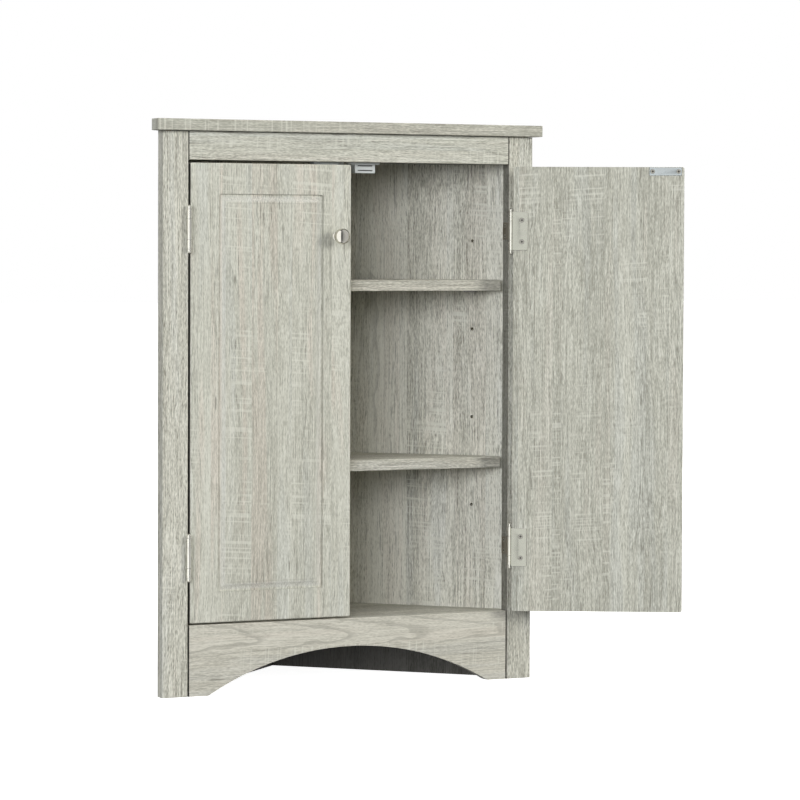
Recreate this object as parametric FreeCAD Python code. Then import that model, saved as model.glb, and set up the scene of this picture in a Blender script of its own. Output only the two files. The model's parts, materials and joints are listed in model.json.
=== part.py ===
import FreeCAD, Part
import math
import os

# Corner cupboard with a triangular plan, in millimetres and degrees.
# The origin is on the floor at the back corner, where the two wall panels meet.
# +X runs to the right along the front, -Y points out of the front, +Z is up.

Vec = FreeCAD.Vector

# Boards
cabinet_height = 800.0
frame_width = 572.0
board = 16.0
frame_board = 18.0
door_board = 16.0
edge_bevel = 0.7

# Top board
top_overhang_front = 10.0
top_overhang_end = 11.0
top_overhang_wall = 5.0
top_shadow_gap = 0.8

# Front frame
post_width = 38.0
rail_height = 39.2
rail_end_gap = 0.6
apron_height = 99.0
apron_end_gap = 1.6
apron_foot_width = 31.0
arch_rise = 59.5
arch_foot_radius = 3.0
stretcher_depth = 56.0
corner_nick = 6.0

# Doors
door_side_gap = 2.5
door_top_gap = 4.0
door_bottom_gap = 2.5
door_meeting_gap = 2.5
door_edge_radius = 2.0
door_corner_radius = 3.0
right_door_rest_angle = 152.0

# Routed groove round the field of each door
groove_margin = 43.0
groove_width = 12.5
groove_depth = 2.5
groove_corner_radius = 4.0
groove_flat = 1.2
cove_end = 8.5
cove_lip_depth = 0.9
bead_start_depth = 0.5
cove_middle_across = 0.6
cove_middle_up = 0.3
bead_middle_across = 0.4
bead_middle_up = 0.7

# Wrap-round hinges
barrel_radius = 3.4
barrel_sides = 20
axis_in_front = 6.0
leaf_running_gap = 0.3
pin_clearance = 0.05
knuckle_gap = 0.3
door_leaf_height = 55.0
middle_knuckle_height = 28.0
frame_leaf_height = 25.0
frame_leaf_margin = 1.5
door_flange_width = 21.0
flange_corner_radius = 2.0
notch_room = 0.6
pin_tip_height = 5.7
pin_tip_radius = 2.9
pin_tip_end_radius = 1.5
pin_tip_collar = 2.6
pin_tip_sides = 10
hinge_from_door_end = 92.0
frame_screw_spacing = 15.0
frame_screw_from_back = 8.5
door_screw_spacing = 31.0
door_screw_from_edge = 12.3

# Wood screws and the knob screw
screw_head_radius = 3.4
screw_shank_radius = 1.6
screw_length = 12.0
screw_sides = 8
knob_screw_radius = 2.0
knob_screw_in_door = 12.0
knob_screw_sides = 12

# Knobs
knob_from_edge = 22.5
knob_from_top = 101.0
knob_projection = 27.0
knob_radius = 11.3
knob_rim_start = 17.0
knob_rim_end = 20.5
knob_neck_radius = 4.2
knob_neck_at = 8.0
knob_base_radius = 6.2
knob_base_height = 1.4
knob_crown_radius = 2.0
knob_flare_steps = 3
knob_dome_steps = 3
knob_sides = 20
knob_hole_depth = 12.0

# Shelves and their supports
upper_shelf_height = 569.6
lower_shelf_height = 313.6
shelf_setback = 2.0
shelf_end_gap = 2.0
shelf_wall_gap = 2.0
shelf_back_cut = 20.0
pin_row_spacing = 64.0
pin_hole_radius = 2.5
pin_hole_sides = 8
pin_hole_depth = 10.0
front_column = 61.0
back_column = 70.0
support_pin_radius = 2.45
support_pin_length = 8.0
support_width = 16.0
support_reach = 16.0
support_plate = 1.6
support_leg = 1.5
support_above_pin = 6.0

# Magnetic catches and their strike plates
catch_offset = 28.0
catch_body_width = 31.0
catch_height = 15.0
catch_depth = 14.0
catch_lug_width = 46.0
catch_lug_height = 3.0
catch_screw_spacing = 38.5
pole_width = 22.5
pole_thickness = 1.6
pole_spacing = 6.7
pole_depth = 11.0
pole_centre_below_rail = 8.0
magnet_depth = 8.0
strike_width = 46.0
strike_height = 11.5
strike_thickness = 1.0
strike_below_door_top = 0.5
strike_screw_spacing = 37.0
strike_gap = 0.4

# Hidden joinery
dowel_radius = 4.0
mitre_dowel_radius = 3.0
mitre_dowel_margin = 1.5
dowel_sides = 6
dowel_in_edge = 20.0
dowel_floor = 6.0
dowel_end_room = 1.0
cam_radius = 7.4
cam_sides = 12
cam_pocket_room = 0.1
cam_floor = 4.0
cam_from_edge = 24.0
cam_bolt_radius = 2.6
cam_bolt_room = 0.3
cam_bolt_past_centre = 3.0
cam_bolt_floor = 5.0
top_cam_from_front = 110.0
top_cam_from_corner = 90.0
bottom_cam_along_wall = 190.0
bottom_dowel_along_wall = 120.0
apron_joint_from_middle = 150.0
apron_dowel_from_top = 37.0
post_dowel_from_end = 55.0
corner_dowel_from_end = 180.0

# Places that follow from the sizes
root_two = math.sqrt(2)
up = Vec(0, 0, 1)
down = Vec(0, 0, -1)
to_right = Vec(1, 0, 0)
to_front = Vec(0, -1, 0)
to_back = Vec(0, 1, 0)
half_width = frame_width / 2
opening_half = half_width - post_width
frame_back = -half_width
frame_front = frame_back - frame_board
under_top = cabinet_height - board
frame_top = under_top - top_shadow_gap
rail_bottom = frame_top - rail_height
wall_inner_x = half_width - board * root_two
wall_length = wall_inner_x * root_two
wall_along = Vec(-1, 1, 0) / root_two
wall_inward = Vec(-1, -1, 0) / root_two
bottom_under = apron_height - board

door_bottom = apron_height + door_bottom_gap
door_top = rail_bottom - door_top_gap
door_free_x = door_meeting_gap / 2
door_hinge_x = opening_half - door_side_gap
door_back = frame_front + door_board
pole_front = door_back + strike_thickness + strike_gap

leaf_thickness = (door_side_gap - leaf_running_gap) / 2
knuckle_bore = barrel_radius - leaf_thickness
pin_radius = knuckle_bore - pin_clearance
post_edge_from_axis = barrel_radius - door_side_gap
hinge_axis = Vec(opening_half + post_edge_from_axis, frame_front - axis_in_front, 0)
hinge_heights = {
    "upper": door_top - hinge_from_door_end,
    "lower": door_bottom + hinge_from_door_end,
}


# Helpers
def box(x0, x1, y0, y1, z0, z1):
    return Part.makeBox(x1 - x0, y1 - y0, z1 - z0, Vec(x0, y0, z0))


def prism(outline, z0, z1):
    corners = [Vec(x, y, z0) for x, y in outline]
    face = Part.Face(Part.makePolygon(corners + corners[:1]))
    return face.extrude(Vec(0, 0, z1 - z0))


def mirrored(shape):
    return shape.mirror(Vec(0, 0, 0), to_right)


def symmetric(right_half):
    """An outline from its right half, both running front to back."""
    left_half = [(-x, y) for x, y in reversed(right_half) if x > 0]
    return right_half + left_half


def ease(shape, radius, wanted):
    """Rounds the edges that the test picks."""
    return shape.makeFillet(radius, [e for e in shape.Edges if wanted(e)])


def bevel(shape, wanted):
    """Takes the sharp arris off the edges of a board that the test picks."""
    return shape.makeChamfer(edge_bevel, [e for e in shape.Edges if wanted(e)])


def on_plane(axis, value):
    """A test for edges that lie in the plane where this coordinate has this value."""
    def test(edge):
        box_of_edge = edge.BoundBox
        low = getattr(box_of_edge, axis + "Min")
        high = getattr(box_of_edge, axis + "Max")
        return abs(low - value) < 1e-4 and abs(high - value) < 1e-4
    return test


def along_axis(axis):
    """A test for straight edges that run along this coordinate."""
    def test(edge):
        lengths = {"X": edge.BoundBox.XLength, "Y": edge.BoundBox.YLength, "Z": edge.BoundBox.ZLength}
        return abs(lengths[axis] - edge.Length) < 1e-4
    return test


def flat_face(corners):
    return Part.Face(Part.makePolygon(corners + corners[:1]))


def faceted(sides, start, direction, stations):
    """A many-sided solid through rings of corners, each at a radius and a distance along the direction.
    Small pieces that repeat are drawn this way, with few flats."""
    turn = FreeCAD.Rotation(up, direction)
    angles = [2 * math.pi * i / sides for i in range(sides)]
    rings = []
    for radius, along in stations:
        rings.append([start + turn.multVec(Vec(radius * math.cos(a), radius * math.sin(a), along)) for a in angles])
    faces = [flat_face(rings[0]), flat_face(rings[-1])]
    for near, far in zip(rings, rings[1:]):
        faces += [flat_face([near[i - 1], near[i], far[i], far[i - 1]]) for i in range(sides)]
    solid = Part.Solid(Part.Shell(faces))
    if solid.Volume < 0:
        solid.reverse()
    return solid


def rod(radius, sides, start, direction, length):
    return faceted(sides, start, direction, [(radius, 0.0), (radius, length)])


def wood_screw(seat, direction, length=screw_length):
    """A countersunk screw: its head is flush with the seat and its shank runs along the direction."""
    head_depth = screw_head_radius - screw_shank_radius
    stations = [(screw_head_radius, 0.0), (screw_shank_radius, head_depth), (screw_shank_radius, length)]
    return faceted(screw_sides, seat, direction, stations)


def wall_point(along, inward, z):
    """A point on the right wall panel: along its inner face from the front frame, and in from that face."""
    start = Vec(wall_inner_x, frame_back, z)
    return start + wall_along * along + wall_inward * inward


def save(name, solids):
    shape = solids[0] if len(solids) == 1 else Part.makeCompound(solids)
    shape.exportStep("parts/" + name + ".step")


def save_pair(name, solids):
    """Saves pieces drawn on the right, and their mirror images on the left."""
    save("right_" + name, solids)
    save("left_" + name, [mirrored(s) for s in solids])


# Boards of the case
def top_panel():
    front = frame_front - top_overhang_front
    end_x = half_width + top_overhang_end
    wall_line = top_overhang_wall * root_two
    outline = symmetric([(end_x, front), (end_x, wall_line - end_x), (0, wall_line)])
    panel = prism(outline, under_top, cabinet_height)
    upright = along_axis("Z")
    return bevel(panel, lambda e: not upright(e) and e.BoundBox.YMax < wall_line - end_x + 1e-4)


def right_wall_panel():
    end = board / root_two
    outline = [(half_width, frame_back), (end, -end), (0, -board * root_two), (wall_inner_x, frame_back)]
    return prism(outline, 0, under_top)


def left_wall_panel():
    end = board / root_two
    outline = [(-half_width, frame_back), (0, 0), (end, -end), (-wall_inner_x, frame_back)]
    return prism(outline, 0, under_top)


def right_post():
    post = box(opening_half, half_width, frame_front, frame_back, 0, frame_top)
    return bevel(post, on_plane("Y", frame_front))


def top_rail():
    end = opening_half - rail_end_gap
    rail = box(-end, end, frame_front, frame_back, rail_bottom, frame_top)
    return bevel(rail, on_plane("Y", frame_front))


def apron():
    """The bottom rail, cut to a shallow arch between two feet."""
    end = opening_half - apron_end_gap
    arch = opening_half - apron_foot_width

    def at(x, z):
        return Vec(x, frame_front, z)

    foot_line = [at(arch, 0), at(end, 0), at(end, apron_height), at(-end, apron_height), at(-end, 0), at(-arch, 0)]
    curve = Part.Arc(at(-arch, 0), at(0, arch_rise), at(arch, 0)).toShape()
    wire = Part.Wire(Part.makePolygon(foot_line).Edges + [curve])
    rail = Part.Face(wire).extrude(to_back * frame_board)
    foot_corner = along_axis("Y")

    def inner_foot_corner(edge):
        return foot_corner(edge) and abs(abs(edge.BoundBox.XMin) - arch) < 1e-4

    def top_or_end(edge):
        return on_plane("Y", frame_front)(edge) and edge.BoundBox.ZMax > apron_height - 1e-4

    rail = ease(rail, arch_foot_radius, inner_foot_corner)
    return bevel(rail, top_or_end)


def bottom_panel():
    nick_x = wall_inner_x - corner_nick
    outline = symmetric([(nick_x, frame_back), (nick_x, frame_back + corner_nick), (0, -board * root_two)])
    return prism(outline, bottom_under, apron_height)


def catch_rail():
    """The flat stretcher behind the top rail, which the catches are screwed to."""
    nick_x = wall_inner_x - corner_nick
    back = frame_back + stretcher_depth
    back_x = wall_inner_x - stretcher_depth
    outline = symmetric([(nick_x, frame_back), (nick_x, frame_back + corner_nick), (back_x, back)])
    return prism(outline, rail_bottom, rail_bottom + board)


def shelf(pin_height):
    end_x = opening_half - shelf_end_gap
    front = frame_back + shelf_setback
    wall_line = -(board + shelf_wall_gap) * root_two
    cut_x = shelf_back_cut / 2
    outline = symmetric([(end_x, front), (end_x, wall_line - end_x), (cut_x, wall_line - cut_x)])
    slab = prism(outline, pin_height - board / 2, pin_height + board / 2)
    return bevel(slab, on_plane("Y", front))


# Doors, drawn closed and on the right
def field_profile(span, place):
    """The closed outline across a raised field: a cove, a small step and a bead up to the face on each side.
    place turns (distance across, depth below the face) into a point."""
    deep = groove_depth + board
    clear = -groove_depth
    cove_mid = (groove_flat + (cove_end - groove_flat) * cove_middle_across,
                groove_depth - (groove_depth - cove_lip_depth) * cove_middle_up)
    bead_mid = (cove_end + (groove_width - cove_end) * bead_middle_across, bead_start_depth * (1 - bead_middle_up))
    near = [(0, deep), (0, groove_depth), (groove_flat, groove_depth), (cove_end, cove_lip_depth),
            (cove_end, bead_start_depth), (groove_width, 0), (groove_width, clear)]
    far = [(span - u, d) for u, d in near]

    def side(points, mids):
        outer_foot, floor_start, cove_start, cove_lip, bead_start, rim, above = [place(*p) for p in points]
        cove, bead = [place(*m) for m in mids]
        return [
            Part.makeLine(outer_foot, floor_start), Part.makeLine(floor_start, cove_start),
            Part.Arc(cove_start, cove, cove_lip).toShape(), Part.makeLine(cove_lip, bead_start),
            Part.Arc(bead_start, bead, rim).toShape(), Part.makeLine(rim, above),
        ]

    far_mids = [(span - u, d) for u, d in (cove_mid, bead_mid)]
    edges = side(near, (cove_mid, bead_mid)) + side(far, far_mids)
    edges.append(Part.makeLine(place(*near[-1]), place(*far[-1])))
    edges.append(Part.makeLine(place(*near[0]), place(*far[0])))
    return Part.Wire(Part.__sortEdges__(edges))


def groove_cutter():
    """The routed groove: a shallow rounded pocket, less the raised field that stays inside it."""
    x0 = door_free_x + groove_margin
    x1 = door_hinge_x - groove_margin
    z0 = door_bottom + groove_margin
    z1 = door_top - groove_margin
    pocket = box(x0, x1, frame_front - groove_depth, frame_front + groove_depth, z0, z1)
    pocket = ease(pocket, groove_corner_radius, along_axis("Y"))
    across = field_profile(x1 - x0, lambda u, d: Vec(x0 + u, frame_front + d, z0))
    upright = field_profile(z1 - z0, lambda u, d: Vec(x0, frame_front + d, z0 + u))
    field = Part.Face(across).extrude(up * (z1 - z0)).common(Part.Face(upright).extrude(to_right * (x1 - x0)))
    return pocket.cut(field)


def right_door():
    door = box(door_free_x, door_hinge_x, frame_front, door_back, door_bottom, door_top)
    door = ease(door, door_corner_radius, along_axis("Y"))
    door = ease(door, door_edge_radius, on_plane("Y", frame_front))
    return door.cut(groove_cutter())


# Hinges, drawn closed, on the right, with the pin's axis at X = Y = 0 and the middle at Z = 0
def knuckle(z0, z1, bore):
    tube = rod(barrel_radius, barrel_sides, Vec(0, 0, z0), up, z1 - z0)
    return tube, Part.makeCylinder(bore, z1 - z0, Vec(0, 0, z0))


def frame_leaf():
    """The leaf on the inner edge of the post, with the middle knuckle."""
    half = middle_knuckle_height / 2
    tube, bore = knuckle(-half, half, pin_radius)
    plate_back = axis_in_front + frame_board - frame_leaf_margin
    plate = box(-post_edge_from_axis - leaf_thickness, -post_edge_from_axis, 0, plate_back,
                -frame_leaf_height / 2, frame_leaf_height / 2)
    return tube.fuse(plate).cut(bore).removeSplitter()


def frame_leaf_screws():
    face = -post_edge_from_axis - leaf_thickness
    y = axis_in_front + frame_board - frame_screw_from_back
    return [wood_screw(Vec(face, y, side * frame_screw_spacing / 2), to_right) for side in (-1, 1)]


def door_leaf():
    """The leaf that wraps from the barrel, along the door's edge and onto its back, with two outer knuckles."""
    half = door_leaf_height / 2
    inner_half = middle_knuckle_height / 2 + knuckle_gap
    edge_face = -barrel_radius
    outside = edge_face + leaf_thickness
    back = axis_in_front + door_board
    strip = box(edge_face, outside, 0, back + leaf_thickness, -half, half)
    flange = box(edge_face - door_flange_width, outside, back, back + leaf_thickness, -half, half)
    flange = ease(flange, flange_corner_radius,
                  lambda e: along_axis("Y")(e) and abs(e.BoundBox.XMin - edge_face + door_flange_width) < 1e-4)
    notch_end = math.sqrt(barrel_radius ** 2 - knuckle_bore ** 2) + notch_room
    notch = box(edge_face - leaf_thickness, outside + leaf_thickness, -barrel_radius, notch_end,
                -inner_half, inner_half)
    leaf = strip.fuse(flange).cut(notch)
    for z0, z1 in ((-half, -inner_half), (inner_half, half)):
        tube, bore = knuckle(z0, z1, knuckle_bore)
        leaf = leaf.fuse(tube).cut(bore)
    return leaf.removeSplitter()


def door_leaf_screws():
    x = -barrel_radius - door_screw_from_edge
    y = axis_in_front + door_board + leaf_thickness
    return [wood_screw(Vec(x, y, side * door_screw_spacing / 2), to_front) for side in (-1, 1)]


def hinge_pin():
    """A pin with a button tip beyond the knuckles at each end."""
    seat = door_leaf_height / 2 + knuckle_gap
    pin = Part.makeCylinder(pin_radius, 2 * seat, Vec(0, 0, -seat))
    tip = [(pin_tip_radius, 0.0), (pin_tip_radius, pin_tip_collar), (pin_tip_end_radius, pin_tip_height)]
    for direction in (up, down):
        pin = pin.fuse(faceted(pin_tip_sides, direction * seat, direction, tip))
    return pin.removeSplitter()


def at_hinge(shape, height):
    placed = shape.copy()
    placed.translate(hinge_axis + Vec(0, 0, height))
    return placed


# Knobs, drawn closed and on the right
def knob_place():
    return Vec(door_free_x + knob_from_edge, frame_front, door_top - knob_from_top)


def knob():
    """A mushroom knob: a foot, a slim neck that flares to a rim, and a domed face, with a hole for its screw."""
    centre = knob_place()
    dome_height = knob_projection - knob_rim_end
    stations = [(knob_base_radius, 0.0), (knob_base_radius, knob_base_height), (knob_neck_radius, knob_neck_at)]
    for step in range(1, knob_flare_steps + 1):
        angle = math.pi / 2 * step / knob_flare_steps
        stations.append((knob_neck_radius + (knob_radius - knob_neck_radius) * (1 - math.cos(angle)),
                         knob_neck_at + (knob_rim_start - knob_neck_at) * math.sin(angle)))
    for step in range(knob_dome_steps):
        angle = math.pi / 2 * step / knob_dome_steps
        stations.append((knob_radius * math.cos(angle), knob_rim_end + dome_height * math.sin(angle)))
    stations.append((knob_crown_radius, knob_projection))
    return faceted(knob_sides, centre, to_front, stations).cut(knob_screw())


def knob_screw():
    """A headless screw with one end in the knob and the other in the door, short of the door's back."""
    start = knob_place() + to_back * knob_screw_in_door
    return rod(knob_screw_radius, knob_screw_sides, start, to_front, knob_screw_in_door + knob_hole_depth)


# Catches and strikes, drawn on the right with the door closed
def pole_height(side):
    return rail_bottom - pole_centre_below_rail + side * pole_spacing / 2


def catch_pole(side):
    z = pole_height(side)
    return box(catch_offset - pole_width / 2, catch_offset + pole_width / 2, pole_front, pole_front + pole_depth,
               z - pole_thickness / 2, z + pole_thickness / 2)


def catch_magnet():
    back = pole_front + pole_depth
    return box(catch_offset - pole_width / 2, catch_offset + pole_width / 2, back - magnet_depth, back,
               pole_height(-1) + pole_thickness / 2, pole_height(1) - pole_thickness / 2)


def catch_screws():
    seat_z = rail_bottom - catch_lug_height
    y = frame_back + catch_depth / 2
    places = [catch_offset + side * catch_screw_spacing / 2 for side in (-1, 1)]
    return [wood_screw(Vec(x, y, seat_z), up) for x in places]


def catch_body():
    """The plastic housing, with a lug at each end that is screwed up into the stretcher."""
    half = catch_body_width / 2
    back = frame_back + catch_depth
    housing = box(catch_offset - half, catch_offset + half, frame_back, back, rail_bottom - catch_height, rail_bottom)
    lug_half = catch_lug_width / 2
    lugs = box(catch_offset - lug_half, catch_offset + lug_half, frame_back, back,
               rail_bottom - catch_lug_height, rail_bottom)
    inside = [catch_pole(-1), catch_pole(1), catch_magnet()]
    return housing.fuse(lugs).removeSplitter().cut(inside + catch_screws())


def strike_centre():
    return Vec(catch_offset, door_back, door_top - strike_below_door_top - strike_height / 2)


def strike_screws():
    seat = strike_centre() + to_back * strike_thickness
    return [wood_screw(seat + Vec(side * strike_screw_spacing / 2, 0, 0), to_front) for side in (-1, 1)]


def strike_plate():
    c = strike_centre()
    plate = box(c.x - strike_width / 2, c.x + strike_width / 2, c.y, c.y + strike_thickness,
                c.z - strike_height / 2, c.z + strike_height / 2)
    return plate.cut(strike_screws())


# Shelf supports, on the right wall panel
def support_columns():
    return (front_column, wall_length - back_column)


def shelf_support(along, pin_height):
    """An L-shaped support: a pin into the wall panel, a leg on its face and a plate under the shelf."""
    under_shelf = pin_height - board / 2
    half = support_width / 2

    def plan(inward):
        corners = [(along - half, 0), (along + half, 0), (along + half, inward), (along - half, inward)]
        points = [wall_point(s, n, 0) for s, n in corners]
        return [(p.x, p.y) for p in points]

    mouth = wall_point(along, 0, pin_height)
    pin = rod(support_pin_radius, pin_hole_sides, mouth, wall_inward * -1, support_pin_length)
    leg = prism(plan(support_leg), under_shelf - support_plate, pin_height + support_above_pin)
    plate = prism(plan(support_reach), under_shelf - support_plate, under_shelf)
    return pin.fuse(leg).fuse(plate).removeSplitter()


def pin_holes():
    """Three rows of blind holes at each column for each shelf."""
    holes = []
    for along in support_columns():
        for pin_height in (upper_shelf_height, lower_shelf_height):
            for row in (-1, 0, 1):
                mouth = wall_point(along, 0, pin_height + row * pin_row_spacing)
                holes.append(rod(pin_hole_radius, pin_hole_sides, mouth, wall_inward * -1, pin_hole_depth))
    return holes


# Joinery: every joint gives its own pieces and the bores that they need
def dowel(seam, direction, before, after, radius=dowel_radius):
    """A dowel across a seam, this far before it and after it, and its bore with room at both ends."""
    peg = rod(radius, dowel_sides, seam - direction * before, direction, before + after)
    start = seam - direction * (before + dowel_end_room)
    return peg, rod(radius, dowel_sides, start, direction, before + after + 2 * dowel_end_room)


def cam_joint(seam, into, cam_face):
    """A bolt screwed into one board at the seam, drawn tight by a round cam let into the face of the other."""
    thread = board - cam_bolt_floor
    reach = cam_from_edge + cam_bolt_past_centre
    bolt = rod(cam_bolt_radius, dowel_sides, seam - into * thread, into, thread + reach)
    centre = seam + into * cam_from_edge
    mouth = centre + cam_face * (board / 2)
    depth = board - cam_floor
    channel = rod(cam_bolt_radius + cam_bolt_room, dowel_sides, seam, into, reach + cam_bolt_room)
    thread_bore = rod(cam_bolt_radius, dowel_sides, seam - into * thread, into, thread)
    disc = rod(cam_radius, cam_sides, mouth, cam_face * -1, depth).cut(channel)
    pocket = rod(cam_radius + cam_pocket_room, cam_sides, mouth, cam_face * -1, depth)
    return bolt, disc, thread_bore, pocket.fuse(channel)


class Joinery:
    """Collects the hidden pieces by node and the bores by board, each joint made on both sides of the middle."""

    def __init__(self):
        self.pieces = {}
        self.bores = {}

    def keep(self, node, piece):
        self.pieces.setdefault(node, []).append(piece)

    def bore(self, board_name, cutter):
        self.bores.setdefault(board_name, []).append(cutter)

    def add_dowel(self, node, boards, seam, direction, before, after, radius=dowel_radius):
        peg, hole = dowel(seam, direction, before, after, radius)
        self.keep(node, peg)
        for name in boards:
            self.bore(name, hole)

    def add_dowel_pair(self, node, boards, seam, direction, before, after, radius=dowel_radius):
        """The same dowel on both sides: a board named for the right has its twin on the left."""
        self.add_dowel(node, boards, seam, direction, before, after, radius)
        twins = [name.replace("right", "left") for name in boards]
        self.add_dowel(node, twins, Vec(-seam.x, seam.y, seam.z), Vec(-direction.x, direction.y, direction.z),
                       before, after, radius)

    def add_cam_pair(self, bolt_board, cam_board, seam, into, cam_face):
        bolt, disc, thread_bore, pocket = cam_joint(seam, into, cam_face)
        for flip in (False, True):
            pieces = [mirrored(s) if flip else s for s in (bolt, disc, thread_bore, pocket)]
            names = [n.replace("right", "left") if flip else n for n in (bolt_board, cam_board)]
            self.keep("cam_bolts", pieces[0])
            self.keep("cam_discs", pieces[1])
            self.bore(names[0], pieces[2])
            self.bore(names[1], pieces[3])


def join_case():
    joints = Joinery()
    in_face = board - dowel_floor
    in_frame = frame_board - dowel_floor
    frame_middle = frame_back - frame_board / 2
    rail_middle = (rail_bottom + frame_top) / 2
    bottom_middle = bottom_under + board / 2

    # Rail and apron to the posts, and the posts to the top
    joints.add_dowel_pair("front_frame_dowels", ["top_rail", "right_post"],
                          Vec(opening_half, frame_middle, rail_middle), to_right, dowel_in_edge, in_frame)
    joints.add_dowel_pair("front_frame_dowels", ["apron", "right_post"],
                          Vec(opening_half, frame_middle, apron_height - apron_dowel_from_top), to_right, dowel_in_edge, in_frame)
    post_top_x = half_width - in_frame
    joints.add_dowel_pair("top_dowels", ["right_post", "top_panel"],
                          Vec(post_top_x, frame_middle, under_top), up, dowel_in_edge, in_face)

    # Mitred wall panels to the backs of the posts, close to the inside of the mitre
    mitre_x = wall_inner_x + mitre_dowel_radius + mitre_dowel_margin
    for height in (post_dowel_from_end, frame_top / 2, frame_top - post_dowel_from_end):
        joints.add_dowel_pair("post_dowels", ["right_post", "right_wall_panel"],
                              Vec(mitre_x, frame_back, height), to_back, in_frame, in_frame, mitre_dowel_radius)

    # Right wall panel to the left one at the back corner
    for height in (corner_dowel_from_end, under_top - corner_dowel_from_end):
        seam = wall_point(wall_length, -board / 2, height)
        joints.add_dowel("corner_dowels", ["right_wall_panel", "left_wall_panel"],
                         seam, wall_along, dowel_in_edge, in_face)

    # Bottom panel to the walls and the apron, and the stretcher to the top rail
    joints.add_dowel_pair("base_dowels", ["right_wall_panel", "bottom_panel"],
                          wall_point(bottom_dowel_along_wall, 0, bottom_middle), wall_inward, in_face, dowel_in_edge)
    joints.add_dowel_pair("base_dowels", ["apron", "bottom_panel"],
                          Vec(apron_joint_from_middle, frame_back, bottom_middle), to_back, in_frame, dowel_in_edge)
    joints.add_dowel_pair("catch_rail_dowels", ["top_rail", "catch_rail"],
                          Vec(apron_joint_from_middle, frame_back, rail_bottom + board / 2), to_back,
                          in_frame, dowel_in_edge)

    # Cams draw the top onto the walls, and the walls onto the bottom
    for along in (top_cam_from_front, wall_length - top_cam_from_corner):
        joints.add_cam_pair("top_panel", "right_wall_panel", wall_point(along, -board / 2, under_top),
                            down, wall_inward)
    joints.add_cam_pair("right_wall_panel", "bottom_panel", wall_point(bottom_cam_along_wall, 0, bottom_middle),
                        wall_inward, down)
    return joints


# Assembly
def swung_open(shape):
    """A piece of the right door, turned from closed to where it stands at rest."""
    turned = shape.copy()
    turned.rotate(hinge_axis, up, right_door_rest_angle)
    return turned


def door_pieces():
    """Every piece that moves with the right door, closed, by its name without the side."""
    leaf_screws = []
    pieces = {}
    for level, height in hinge_heights.items():
        screws = [at_hinge(s, height) for s in door_leaf_screws()]
        pieces[level + "_door_leaf"] = [at_hinge(door_leaf(), height).cut(screws)]
        leaf_screws += screws
    bores = leaf_screws + strike_screws() + [knob_screw()]
    pieces["door"] = [right_door().cut(bores)]
    pieces["door_leaf_screws"] = leaf_screws
    pieces["knob"] = [knob()]
    pieces["knob_screw"] = [knob_screw()]
    pieces["strike_plate"] = [strike_plate()]
    pieces["strike_screws"] = strike_screws()
    return pieces


def build():
    os.makedirs("parts", exist_ok=True)
    joints = join_case()
    boards = {
        "top_panel": top_panel(),
        "left_wall_panel": left_wall_panel(),
        "right_wall_panel": right_wall_panel(),
        "left_post": mirrored(right_post()),
        "right_post": right_post(),
        "top_rail": top_rail(),
        "apron": apron(),
        "bottom_panel": bottom_panel(),
        "catch_rail": catch_rail(),
    }

    # Fixed hinge halves on the posts
    frame_screws = []
    for level, height in hinge_heights.items():
        screws = [at_hinge(s, height) for s in frame_leaf_screws()]
        save_pair(level + "_frame_leaf", [at_hinge(frame_leaf(), height).cut(screws)])
        save_pair(level + "_hinge_pin", [at_hinge(hinge_pin(), height)])
        for screw in screws:
            joints.bore("right_post", screw)
            joints.bore("left_post", mirrored(screw))
            frame_screws += [screw, mirrored(screw)]
    save("frame_leaf_screws", frame_screws)

    # Catches under the stretcher
    catch_fixings = catch_screws() + [mirrored(s) for s in catch_screws()]
    for screw in catch_fixings:
        joints.bore("catch_rail", screw)
    save("catch_screws", catch_fixings)
    save_pair("catch_body", [catch_body()])
    save_pair("catch_poles", [catch_pole(-1), catch_pole(1)])
    save_pair("catch_magnet", [catch_magnet()])

    # Shelves on their supports
    for hole in pin_holes():
        joints.bore("right_wall_panel", hole)
        joints.bore("left_wall_panel", mirrored(hole))
    for level, height in (("upper", upper_shelf_height), ("lower", lower_shelf_height)):
        supports = [shelf_support(along, height) for along in support_columns()]
        save(level + "_shelf", [shelf(height)])
        save(level + "_shelf_supports", supports + [mirrored(s) for s in supports])

    # Boards with all their bores, and the hidden joinery
    for name, solid in boards.items():
        cutters = joints.bores.get(name, [])
        save(name, [solid.cut(cutters) if cutters else solid])
    for node, solids in joints.pieces.items():
        save(node, solids)

    # Doors: the left one is closed at rest and the right one stands open
    for name, solids in door_pieces().items():
        save("left_" + name, [mirrored(s) for s in solids])
        save("right_" + name, [swung_open(s) for s in solids])


build()
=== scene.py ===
# %% [markdown]
# # A low corner cupboard, dressed in Blender
# The cupboard's boards, hinges and fittings come from a CAD model that is already in place.
# This lesson gives them their looks: a washed oak print on every board, nickel hardware with real screw
# heads, and a white studio. Everything is in metres, +X to the right, -Y out of the front and +Z up.

# %% Load the CAD frame
import bpy
import json
import math
from mathutils import Matrix, Vector

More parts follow.
